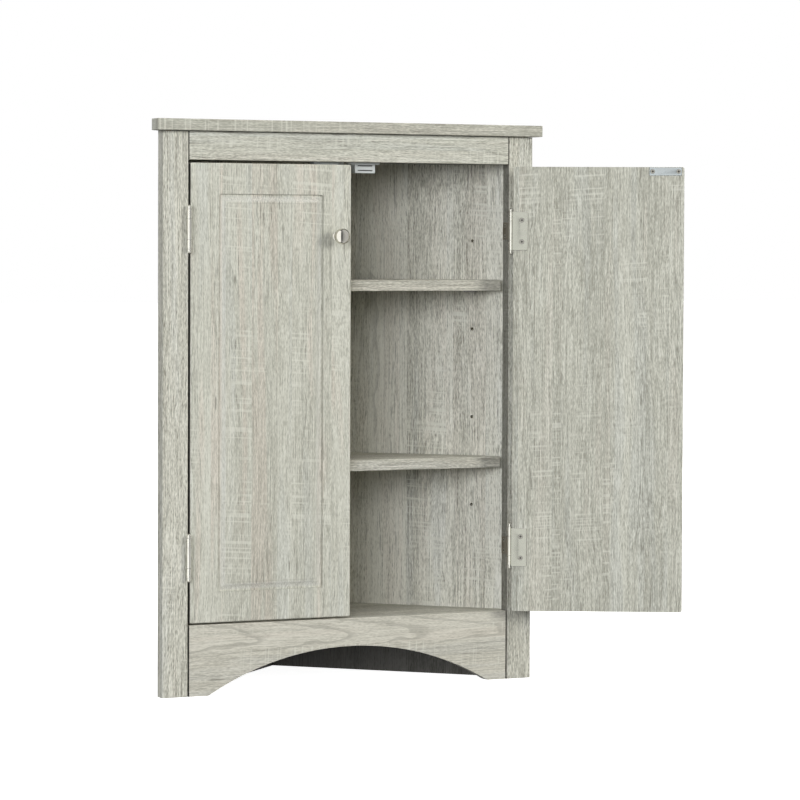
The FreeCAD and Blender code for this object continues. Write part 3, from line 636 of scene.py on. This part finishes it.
# Painted shade: near-black for the recess of a screw's cross.
screw_recess_shade = speckled_finish("screw_recess_shade", (0.015, 0.015, 0.014), (0.04, 0.04, 0.036),
                               (2000, 2000, 2000), 0.6)
white_plastic = speckled_finish("white_plastic", (0.56, 0.59, 0.58), (0.62, 0.65, 0.64),
                                (700, 700, 700), 0.42)
ferrite = speckled_finish("dark_ferrite", (0.025, 0.025, 0.028), (0.07, 0.07, 0.075), (900, 900, 900), 0.7)
beech = speckled_finish("beech_wood", (0.42, 0.27, 0.15), (0.56, 0.38, 0.22), (300, 300, 40), 0.6)
print("materials:", len(bpy.data.materials))

# %% [markdown]
# ## A finish for every fitting
# Most fittings come in a left and a right one, so their names are put together from the side and the fitting.

# %% Finished fittings
SIDES = {"left": -1, "right": 1}
LEVELS = ("upper", "lower")
DOWELLED = ("front_frame", "top", "post", "corner", "base", "catch_rail")


def both(name):
    """The left and the right node of one fitting."""
    return [f"{side}_{name}" for side in SIDES]


def each_hinge(part):
    return [f"{side}_{level}_{part}" for side in SIDES for level in LEVELS]


finish_nodes(nickel, each_hinge("door_leaf") + each_hinge("hinge_pin") + both("knob"))
# The frame leaves' darker tint is painted shade and painted reflection.
finish_nodes(shaded_nickel, each_hinge("frame_leaf"))
finish_nodes(steel, both("strike_plate"))
# On the shelf supports the dark steel is painted shade.
finish_nodes(dark_steel_and_shade, both("catch_poles") + [f"{level}_shelf_supports" for level in LEVELS])
finish_nodes(screw_steel, ["frame_leaf_screws", "catch_screws"])
finish_nodes(screw_steel, both("door_leaf_screws") + both("strike_screws") + both("knob_screw"))
finish_nodes(zinc, ["cam_bolts", "cam_discs"])
finish_nodes(white_plastic, both("catch_body"))
finish_nodes(ferrite, both("catch_magnet"))
finish_nodes(beech, [f"{joint}_dowels" for joint in DOWELLED])
print("hinge nodes:", each_hinge("door_leaf"))

# %% [markdown]
# ## Places on the hardware
# The doors hang on two upright hinge lines just in front of the frame. The right door stands open at rest,
# so everything that rides on it is first placed as if the door were closed and then swung with it.

# %% Places
HINGE_HEIGHTS = (648 * MM, 193.5 * MM)
swing = (Matrix.Translation(HINGE_LINE) @ Matrix.Rotation(OPEN_TURN, 4, "Z")
         @ Matrix.Translation(-HINGE_LINE))
AT_REST = {"left": Matrix.Identity(4), "right": swing}


def facing(place, normal):
    """A placing that puts the local origin at this place and turns local +Z to this direction."""
    return Matrix.Translation(place) @ Vector(normal).to_track_quat("Z", "Y").to_matrix().to_4x4()


print("hinge heights:", HINGE_HEIGHTS)

# %% [markdown]
# ## Turned pieces
# Knobs, hinge pins and screws are round about one axis, as if turned on a lathe.
# One way is to spin a profile; here a disc is extruded ring by ring and scaled at every step,
# which closes both ends and gives the faces in even bands. The finished shape is then laid in its place.

# %% Turning helper


def clear_selection():
    if bpy.context.mode != "OBJECT":
        bpy.ops.object.mode_set(mode="OBJECT")
    bpy.ops.object.select_all(action="DESELECT")


def make_active(piece):
    clear_selection()
    piece.select_set(True)
    bpy.context.view_layer.objects.active = piece


def turned(name, rings, sides):
    """A closed round solid through rings of (distance along +Z, radius), in metres."""
    clear_selection()
    height, radius = rings[0]
    start = (0, 0, height)
    bpy.ops.mesh.primitive_circle_add(vertices=sides, radius=radius, fill_type="NGON", location=start)
    piece = bpy.context.object
    piece.name = name
    bpy.ops.object.transform_apply(location=True)
    bpy.ops.object.mode_set(mode="EDIT")
    bpy.ops.mesh.select_all(action="SELECT")
    for next_height, next_radius in rings[1:]:
        bpy.ops.mesh.extrude_region_move(TRANSFORM_OT_translate={"value": (0, 0, next_height - height)})
        ratio = next_radius / radius
        bpy.ops.transform.resize(value=(ratio, ratio, 1), center_override=(0, 0, next_height))
        height, radius = next_height, next_radius
    bpy.ops.mesh.select_all(action="SELECT")
    bpy.ops.mesh.normals_make_consistent(inside=False)
    bpy.ops.object.mode_set(mode="OBJECT")
    return piece


print("turning helper ready in", bpy.context.mode, "mode")

# %% [markdown]
# ## Finishing and handing over a piece
# A pattern is made once and copied, each copy with its own mesh, and its place goes into that mesh.
# A finished piece is then parented to the body that carries it, and the CAD nodes that it stands for are
# hidden.

# %% Finishing helpers


def smooth(piece, degrees=35):
    make_active(piece)
    bpy.ops.object.shade_smooth_by_angle(angle=math.radians(degrees))


def copy_at(piece, name, placing):
    """A copy with its own mesh, laid in place with its object back at the origin."""
    make_active(piece)
    bpy.ops.object.duplicate(linked=False)
    twin = bpy.context.object
    twin.name = name
    twin.matrix_world = placing
    bpy.ops.object.transform_apply(location=True, rotation=True, scale=True)
    return twin


def joined(pieces, name):
    clear_selection()
    for piece in pieces:
        piece.select_set(True)
    bpy.context.view_layer.objects.active = pieces[0]
    if len(pieces) > 1:
        bpy.ops.object.join()
    whole = bpy.context.object
    whole.name = name
    return whole


def paint(piece, material):
    piece.data.materials.clear()
    piece.data.materials.append(material)


def fit(piece, body, slot, *replaced):
    """Hands a finished piece over to the body that carries it and hides the nodes that it stands for. The
    slot is not used.
    """
    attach(piece, body)
    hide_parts(*replaced)


# %% [markdown]
# ## The knobs
# A mushroom knob of cast zinc with a nickel finish: a small foot on the door, a slim neck that flares to a
# rounded rim and a low domed face. The curves of the flare and the dome are worked out as quarter ellipses.

# %% Knobs
KNOB_X, KNOB_Z, DOOR_FRONT = 23.75 * MM, 639 * MM, -304 * MM
KNOB_REACH, KNOB_RADIUS = 27 * MM, 11.3 * MM
NECK_AT, NECK_RADIUS = 8 * MM, 4.2 * MM
RIM_START, RIM_END, RIM_EASE = 17 * MM, 20.5 * MM, 0.8 * MM
RIM_RADIUS = KNOB_RADIUS * 0.97
FOOT_RADIUS, FOOT_HEIGHT = 6.2 * MM, 1.4 * MM
CURVE_STEPS, KNOB_SIDES = 10, 56


def quarter(steps):
    """Sines and cosines through a right angle, without its start."""
    angles = [math.pi / 2 * step / steps for step in range(1, steps + 1)]
    return [(math.sin(a), math.cos(a)) for a in angles]


knob_rings = [(0, FOOT_RADIUS), (FOOT_HEIGHT * 0.7, FOOT_RADIUS), (FOOT_HEIGHT, FOOT_RADIUS * 0.92),
              (FOOT_HEIGHT * 1.2, NECK_RADIUS * 1.15), (NECK_AT * 0.6, NECK_RADIUS * 1.02),
              (NECK_AT, NECK_RADIUS)]
for s, c in quarter(CURVE_STEPS):
    flare_radius = NECK_RADIUS + (RIM_RADIUS - NECK_RADIUS) * (1 - c)
    knob_rings.append((NECK_AT + (RIM_START - NECK_AT) * s, flare_radius))
knob_rings += [(RIM_START + RIM_EASE, KNOB_RADIUS), (RIM_END - RIM_EASE, KNOB_RADIUS), (RIM_END, RIM_RADIUS)]
for s, c in quarter(CURVE_STEPS)[:-1]:
    knob_rings.append((RIM_END + (KNOB_REACH - RIM_END) * s, RIM_RADIUS * c))
pattern_knob = turned("pattern_knob", knob_rings, KNOB_SIDES)
paint(pattern_knob, polished_nickel)
smooth(pattern_knob)
for side, sign in SIDES.items():
    placing = AT_REST[side] @ facing((sign * KNOB_X, DOOR_FRONT, KNOB_Z), (0, -1, 0))
    knob = copy_at(pattern_knob, f"{side}_turned_knob", placing)
    fit(knob, f"{side}_door", "nickel_hardware", f"{side}_knob")
bpy.data.objects.remove(pattern_knob)
print("knob rings:", len(knob_rings))

# %% [markdown]
# ## Hinge pins
# Each hinge has a steel pin whose two ends are headed into small buttons that show above and below the
# barrel. The rings of the upper half are given, and the lower half is their mirror image.

# %% Hinge pins
PIN_RADIUS, PIN_SEAT, PIN_SIDES = 2.25 * MM, 27.8 * MM, 24
TIP = ((0.0, 2.75), (0.4, 2.9), (2.4, 2.9), (3.6, 2.6), (4.6, 2.0), (5.3, 1.2), (5.7, 0.4))

upper_half = [(PIN_SEAT, PIN_RADIUS)] + [(PIN_SEAT + rise * MM, radius * MM) for rise, radius in TIP]
pin_rings = [(-rise, radius) for rise, radius in reversed(upper_half)] + upper_half
pattern_pin = turned("pattern_pin", pin_rings, PIN_SIDES)
paint(pattern_pin, nickel)
smooth(pattern_pin)
for side, sign in SIDES.items():
    for level, height in zip(LEVELS, HINGE_HEIGHTS):
        placing = Matrix.Translation((sign * HINGE_X, HINGE_Y, height))
        pin = copy_at(pattern_pin, f"{side}_{level}_headed_pin", placing)
        fit(pin, "cabinet", "nickel_hardware", f"{side}_{level}_hinge_pin")
bpy.data.objects.remove(pattern_pin)
print("pin rings:", len(pin_rings))

# %% [markdown]
# ## Cross-head screws
# Countersunk wood screws hold the hinges, the strike plates and the catches.
# One screw is turned, and a tapered cross is then cut into its head with a Boolean modifier, which leaves the
# recess near-black as painted shade.

# %% One screw
HEAD_RADIUS, HEAD_DEPTH, HEAD_CROWN = 3.05 * MM, 1.6 * MM, 0.12 * MM
SHANK_RADIUS, SCREW_LENGTH, SCREW_SIDES = 1.5 * MM, 12 * MM, 24
CROSS_LENGTH, CROSS_WIDTH, CROSS_DEPTH, CROSS_TOP = 3.8 * MM, 1.2 * MM, 1.6 * MM, 0.6 * MM
CROSS_TAPER = 0.6


def tapered_bar(length, width):
    """One bar of the cross, narrower at its foot."""
    clear_selection()
    bpy.ops.mesh.primitive_cube_add(size=1, location=(0, 0, CROSS_TOP - CROSS_DEPTH / 2))
    bar = bpy.context.object
    bar.scale = (length, width, CROSS_DEPTH)
    bpy.ops.object.transform_apply(location=True, rotation=True, scale=True)
    bpy.ops.object.mode_set(mode="EDIT")
    bpy.ops.mesh.select_all(action="DESELECT")
    bpy.ops.object.mode_set(mode="OBJECT")
    for vertex in bar.data.vertices:
        vertex.select = vertex.co.z < CROSS_TOP - CROSS_DEPTH / 2
    bpy.ops.object.mode_set(mode="EDIT")
    foot = (0, 0, CROSS_TOP - CROSS_DEPTH)
    bpy.ops.transform.resize(value=(CROSS_TAPER, CROSS_TAPER, 1), center_override=foot)
    bpy.ops.object.mode_set(mode="OBJECT")
    # Painted shade: the cross is near-black, and the cut carries it into the recess.
    paint(bar, screw_recess_shade)
    return bar


def combine(piece, tool, operation, **settings):
    """Joins the tool to a piece or cuts it away, and removes the tool."""
    make_active(piece)
    step = piece.modifiers.new("combine", "BOOLEAN")
    step.operation = operation
    step.object = tool
    for name, value in settings.items():
        setattr(step, name, value)
    bpy.ops.object.modifier_apply(modifier=step.name)
    bpy.data.objects.remove(tool)


screw_rings = [(-SCREW_LENGTH, 0.25 * MM), (-SCREW_LENGTH + 2.5 * MM, SHANK_RADIUS * 0.9),
               (-HEAD_DEPTH, SHANK_RADIUS), (-0.15 * MM, HEAD_RADIUS), (0.05 * MM, HEAD_RADIUS * 0.98),
               (HEAD_CROWN * 0.7, HEAD_RADIUS * 0.7), (HEAD_CROWN, HEAD_RADIUS * 0.3)]
pattern_screw = turned("pattern_screw", screw_rings, SCREW_SIDES)
paint(pattern_screw, screw_steel)
cross = tapered_bar(CROSS_LENGTH, CROSS_WIDTH)
combine(cross, tapered_bar(CROSS_WIDTH, CROSS_LENGTH), "UNION")
combine(pattern_screw, cross, "DIFFERENCE", solver="EXACT", material_mode="TRANSFER")
smooth(pattern_screw, 25)
print("screw faces:", len(pattern_screw.data.polygons))

# %% [markdown]
# ### Every screw in its seat
# Each seat is the middle of a countersink in the CAD model, and the screw faces out of it.
# The screws of one CAD node are joined to one piece, which rides where the node did.

# %% Screws
FRAME_SEAT_X, FRAME_SEAT_Y, FRAME_SCREW_STEP = 246.9 * MM, -294.5 * MM, 7.5 * MM
LEAF_SEAT_X, LEAF_SEAT_Y, LEAF_SCREW_STEP = 233.2 * MM, -286.9 * MM, 15.5 * MM
CATCH_X = 28 * MM
STRIKE_SEAT_Y, STRIKE_SEAT_Z, STRIKE_SCREW_STEP = -287 * MM, 733.75 * MM, 18.5 * MM
CATCH_SEAT_Y, CATCH_SEAT_Z, CATCH_SCREW_STEP = -279 * MM, 741 * MM, 19.25 * MM

screw_sets = {"frame_leaf_screws": [], "catch_screws": []}
for side, sign in SIDES.items():
    rest = AT_REST[side]
    leaf_set = screw_sets.setdefault(f"{side}_door_leaf_screws", [])
    strike_set = screw_sets.setdefault(f"{side}_strike_screws", [])
    for height in HINGE_HEIGHTS:
        for step in (-1, 1):
            frame_seat = (sign * FRAME_SEAT_X, FRAME_SEAT_Y, height + step * FRAME_SCREW_STEP)
            screw_sets["frame_leaf_screws"].append(facing(frame_seat, (-sign, 0, 0)))
            leaf_seat = (sign * LEAF_SEAT_X, LEAF_SEAT_Y, height + step * LEAF_SCREW_STEP)
            leaf_set.append(rest @ facing(leaf_seat, (0, 1, 0)))
    for step in (-1, 1):
        strike_seat = (sign * CATCH_X + step * STRIKE_SCREW_STEP, STRIKE_SEAT_Y, STRIKE_SEAT_Z)
        strike_set.append(rest @ facing(strike_seat, (0, 1, 0)))
        catch_seat = (sign * CATCH_X + step * CATCH_SCREW_STEP, CATCH_SEAT_Y, CATCH_SEAT_Z)
        screw_sets["catch_screws"].append(facing(catch_seat, (0, 0, -1)))


def body_of(node):
    return next((f"{side}_door" for side in SIDES if node.startswith(side)), "cabinet")


for node, placings in screw_sets.items():
    copies = [copy_at(pattern_screw, "screw_copy", placing) for placing in placings]
    slot = "nickel_hardware" if "leaf" in node else "bright_steel"
    fit(joined(copies, f"cross_head_{node}"), body_of(node), slot, node)
bpy.data.objects.remove(pattern_screw)
print("screw sets:", {node: len(placings) for node, placings in screw_sets.items()})

# %% [markdown]
# ## Stamped and moulded hardware
# Hinge leaves, strike plates and pole plates are stamped from sheet, so their edges are a little rounded
# by the die, and the catch housings are moulded with soft edges. The CAD solids have the right outlines and
# holes, so each is copied, its loose triangles are merged, flat faces are made whole again and a bevel
# breaks the edges. The hinge leaves' bevels get the dark steel as a painted shadow outline.

# %% Hinge leaves, plates and catches
MERGE_REACH = 0.002 * MM
STAMPED_EDGE, MOULDED_EDGE, EDGE_SEGMENTS = 0.35 * MM, 0.5 * MM, 2
FLAT_ANGLE, SHARP_ANGLE = math.radians(1), math.radians(40)


def eased_copy(node, name, width, edge_shadow_paint=None):
    """A merged copy of a CAD node with its sharp edges bevelled, and a painted shadow on the bevels if given.
    """
    clear_selection()
    piece = bpy.data.objects.new(name, bpy.data.objects[node].data.copy())
    bpy.context.scene.collection.objects.link(piece)
    make_active(piece)
    bpy.ops.mesh.customdata_custom_splitnormals_clear()
    bpy.ops.object.mode_set(mode="EDIT")
    bpy.ops.mesh.select_all(action="SELECT")
    bpy.ops.mesh.remove_doubles(threshold=MERGE_REACH)
    bpy.ops.mesh.dissolve_limited(angle_limit=FLAT_ANGLE)
    bpy.ops.object.mode_set(mode="OBJECT")
    easing = piece.modifiers.new("easing", "BEVEL")
    easing.width, easing.segments = width, EDGE_SEGMENTS
    easing.limit_method, easing.angle_limit = "ANGLE", SHARP_ANGLE
    if edge_shadow_paint is not None:
        piece.data.materials.append(edge_shadow_paint)
        easing.material = len(piece.data.materials) - 1
    bpy.ops.object.modifier_apply(modifier=easing.name)
    smooth(piece, 20)
    return piece


# The hinge leaves' bevels get a painted shadow outline in dark steel.
for side in SIDES:
    for level in LEVELS:
        for leaf, body in (("frame_leaf", "cabinet"), ("door_leaf", f"{side}_door")):
            node = f"{side}_{level}_{leaf}"
            fit(eased_copy(node, f"stamped_{node}", STAMPED_EDGE, dark_steel_and_shade), body, "nickel_hardware", node)
    plate, poles, housing = f"{side}_strike_plate", f"{side}_catch_poles", f"{side}_catch_body"
    fit(eased_copy(plate, f"stamped_{plate}", STAMPED_EDGE), f"{side}_door", "bright_steel", plate)
    fit(eased_copy(poles, f"stamped_{poles}", STAMPED_EDGE), "cabinet", "bright_steel", poles)
    fit(eased_copy(housing, f"moulded_{housing}", MOULDED_EDGE), "cabinet", "catch_plastic", housing)
eased_names = [o.name for o in bpy.data.objects if o.name.startswith(("stamped_", "moulded_"))]
print("eased copies:", sorted(eased_names))

# %% [markdown]
# ## The studio floor
# The photograph has a white ground with almost no shadow. In a white room the light that comes back from the
# floor would flatten everything, so the camera sees the floor as white, while it throws back little light.

# %% Floor
FLOOR_SIZE, FLOOR_ROUGHNESS = 60.0, 0.9
FLOOR_WHITE, FLOOR_BOUNCE = (0.95, 0.95, 0.95), (0.07, 0.07, 0.07)
NEAR_GLOW, FAR_GLOW = 0.95, 1.0
GLOW_DISTANCES = (0.7, 3.0)
WHITE = (1, 1, 1)

clear_selection()
bpy.ops.mesh.primitive_plane_add(size=FLOOR_SIZE, location=(0, 0, 0))
floor = bpy.context.object
floor.name = "studio_floor"
floor_paint, floor_nodes, floor_shader = new_material("white_floor")
floor_seen = floor_nodes.add("ShaderNodeLightPath").outputs["Is Camera Ray"]
floor_colour = floor_nodes.mix(floor_seen, FLOOR_BOUNCE, FLOOR_WHITE)
floor_nodes.feed(floor_shader.inputs["Base Color"], floor_colour)
floor_shader.inputs["Roughness"].default_value = FLOOR_ROUGHNESS
floor_shader.inputs["Emission Color"].default_value = rgba(WHITE)
from_cupboard = floor_nodes.add("ShaderNodeVectorMath", ((0, floor_nodes.place()),), operation="LENGTH")
floor_glow = floor_nodes.between(from_cupboard.outputs["Value"], *GLOW_DISTANCES, NEAR_GLOW, FAR_GLOW)
floor_nodes.feed(floor_shader.inputs["Emission Strength"], floor_nodes.product(floor_glow, floor_seen))
floor.data.materials.append(floor_paint)
floor.visible_glossy = False
print("floor:", FLOOR_SIZE, "m square")

# %% [markdown]
# ## The surround
# The camera sees white all round, and the boards get a weak even glow. Metal needs something to mirror: a
# bright wall on the left, a dark gap beside the camera and a grey wall on the right, given as brightness
# by direction. The view transform is Standard, so colours stay as they are mixed.

# %% Surround
ROOM_GLOW = (0.18, 0.18, 0.18)
# Share of a turn and brightness, from behind round the left to the front, the right and behind again.
MIRRORED_WALLS = ((0.00, 0.20), (0.19, 0.20), (0.22, 1.30), (0.46, 1.30), (0.475, 0.05), (0.50, 0.05),
                  (0.52, 0.30), (0.60, 0.60), (0.80, 0.60), (1.00, 0.20))
MIRRORED_CEILING, CEILING_STEP = (0.08, 0.08, 0.08), (0.99, 0.92)

world = bpy.data.worlds.new("white_surround")
world.use_nodes = True
sky = Nodes(world.node_tree)
ray = sky.add("ShaderNodeLightPath").outputs
to_right, to_back, upward = sky.axes(sky.add("ShaderNodeTexCoord").outputs["Generated"])
azimuth = sky.math("ARCTAN2", to_right, sky.product(to_back, -1.0))
turn_share = sky.total(sky.math("DIVIDE", azimuth, 2 * math.pi), 0.5)
mirrored = sky.ramp(turn_share, [(share, (grey, grey, grey)) for share, grey in MIRRORED_WALLS])
wall_share = sky.between(sky.math("ABSOLUTE", upward), *CEILING_STEP)
mirrored = sky.mix(wall_share, MIRRORED_CEILING, mirrored)
surround_colour = sky.mix(ray["Is Glossy Ray"], ROOM_GLOW, mirrored)
surround_colour = sky.mix(ray["Is Camera Ray"], surround_colour, WHITE)
sky.feed(world.node_tree.nodes["Background"].inputs["Color"], surround_colour)
bpy.context.scene.world = world
bpy.context.scene.view_settings.view_transform = "Standard"
print("surround nodes:", len(world.node_tree.nodes))

# %% [markdown]
# ## The lights
# A wall of soft light stands on the left, and a smaller light on the right gives the hinges and the knob
# their shadows. A weak one hangs overhead, and two behind the cupboard light the backs of the walls.

# %% Lights
COOL, WARM, NEUTRAL = (0.97, 0.985, 1.03), (1.01, 1.0, 0.97), (1.0, 1.0, 1.0)
FRONT_AIM, TOP_AIM, BACK_AIM = (0, -0.3, 0.4), (0, -0.4, 0), (0, -0.1, 0.4)
# Place, aim, width and height in metres, then watts and colour.
STUDIO_LIGHTS = {
    "left_wall_of_light": ((-4.9, -5.3, 1.9), FRONT_AIM, (5.0, 3.0), 337, COOL),
    "right_light": ((4.4, -6.6, 2.5), FRONT_AIM, (2.6, 2.6), 332, WARM),
    "top_light": ((0.0, -0.8, 4.0), TOP_AIM, (3.0, 3.0), 40, NEUTRAL),
    "left_back_light": ((-1.6, 4.4, 2.2), BACK_AIM, (1.6, 2.0), 80, NEUTRAL),
    "right_back_light": ((1.6, 4.4, 2.2), BACK_AIM, (1.6, 2.0), 80, NEUTRAL),
}


def soft_light(name, place, target, size, watts, colour):
    data = bpy.data.lights.new(name, "AREA")
    data.shape = "RECTANGLE"
    data.size, data.size_y = size
    data.energy = watts
    data.color = colour
    light = bpy.data.objects.new(name, data)
    bpy.context.scene.collection.objects.link(light)
    light.location = place
    light.rotation_euler = (Vector(target) - Vector(place)).to_track_quat("-Z", "Y").to_euler()
    light.visible_glossy = False


for light_name, settings in STUDIO_LIGHTS.items():
    soft_light(light_name, *settings)
